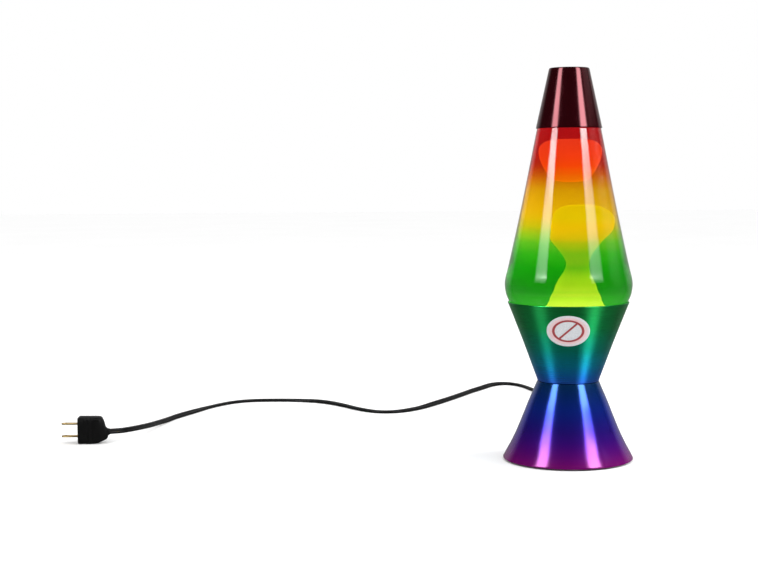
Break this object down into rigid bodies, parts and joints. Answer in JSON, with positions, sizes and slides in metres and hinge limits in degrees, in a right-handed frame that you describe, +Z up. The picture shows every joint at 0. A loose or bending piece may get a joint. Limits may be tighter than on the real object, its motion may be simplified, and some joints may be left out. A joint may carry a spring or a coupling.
{
  "type": "lava lamp",
  "caption": "Lava lamp with a tapered globe of coloured liquid and wax on an hourglass metal base, a tapered cap, an inner bulb and a corded plug.",
  "frame": {"origin": "on the lamp's axis, on the surface that the feet stand on", "axes": "+Z up along the lamp's axis, -Y out of the front that carries the oval label, +X to the right seen from the front; the cord leaves at the back along +Y"},
  "size_m": [0.5622, 0.5475, 0.368],
  "materials": {
    "cone_rainbow_metal": "polished lacquered aluminium, blue at the waist turning violet and magenta at the foot",
    "cup_rainbow_metal": "satin lacquered aluminium, green at the waist edge of the globe turning teal and blue",
    "cap_rainbow_metal": "polished lacquered aluminium, deep red",
    "sticker_paper": "smooth coated label",
    "black_plastic": "fine matte",
    "plug_plastic": "soft moulded vinyl, matte",
    "black_wire": "flexible vinyl insulation",
    "white_wire": "flexible vinyl insulation",
    "zinc_steel": "zinc plated",
    "tinned_steel": "gold lacquered tinplate",
    "brass": "plain stamped",
    "solder": "dull solder",
    "socket_ceramic": "glazed",
    "black_rubber": "matte",
    "clear_glass": "clear, polished",
    "bulb_clear_glass": "clear, polished",
    "rainbow_liquid": "clear coloured liquid, red at the top turning yellow and green below",
    "column_wax": "smooth glowing wax, yellow to yellow-green",
    "blob_wax": "smooth glowing wax, orange-red",
    "filament": "fine tungsten coil"
  },
  "bodies": {
    "base": {"lower_cone": "cone_rainbow_metal", "upper_cup": "cup_rainbow_metal", "oval_sticker": "sticker_paper", "bottom_plate": "black_plastic", "plate_screw_1": "zinc_steel", "plate_screw_2": "zinc_steel", "plate_screw_3": "zinc_steel", "foot_1": "black_rubber", "foot_2": "black_rubber", "foot_3": "black_rubber", "foot_4": "black_rubber", "socket_bracket": "zinc_steel", "socket_body": "socket_ceramic", "socket_screw_shell": "brass", "socket_contact": "brass", "socket_nipple": "zinc_steel", "socket_nut": "zinc_steel", "waist_screw_1": "zinc_steel", "waist_screw_2": "zinc_steel", "waist_nut_1": "zinc_steel", "waist_nut_2": "zinc_steel", "terminal_screw_live": "brass", "terminal_screw_neutral": "brass", "lead_live": "black_wire", "lead_neutral": "white_wire", "strain_relief": "black_plastic", "cord": "black_wire", "plug_body": "plug_plastic", "plug_blade_live": "brass", "plug_blade_neutral": "brass"},
    "globe": {"globe_bottle": "clear_glass", "liquid": "rainbow_liquid", "wax_column": "column_wax", "wire_coil": "zinc_steel", "crown_cap": "tinned_steel", "crown_liner": "black_rubber"},
    "wax": {"wax_blob": "blob_wax"},
    "cap": {"top_cap": "cap_rainbow_metal"},
    "bulb_tip": {"bulb_contact": "solder"},
    "bulb": {"bulb_glass": "bulb_clear_glass", "bulb_screw_base": "brass", "bulb_insulator": "black_plastic", "bulb_stem": "bulb_clear_glass", "bulb_filament": "filament"}
  },
  "joints": [
    {"name": "globe_lift", "type": "slide", "parent": "base", "child": "globe", "axis": [0, 0, 1], "range_m": [0, 0.12]},
    {"name": "cap_lift", "type": "slide", "parent": "globe", "child": "cap", "axis": [0, 0, 1], "range_m": [0, 0.06]},
    {"name": "wax_drift", "type": "slide", "parent": "globe", "child": "wax", "axis": [0, 0, 1], "range_m": [0, 0.014], "deforming": ["liquid"]},
    {"name": "bulb_rise", "type": "slide", "parent": "base", "child": "bulb_tip", "axis": [0, 0, 1], "range_m": [0, 0.0085]},
    {"name": "bulb_turn", "type": "hinge", "parent": "bulb_tip", "child": "bulb", "pos_m": [0, 0, 0.046], "axis": [0, 0, 1], "range_deg": [0, 1080]}
  ],
  "couplings": [
    {"joint": "bulb_rise", "follows": "bulb_turn", "m_per_rad": 0.0004488}
  ]
}
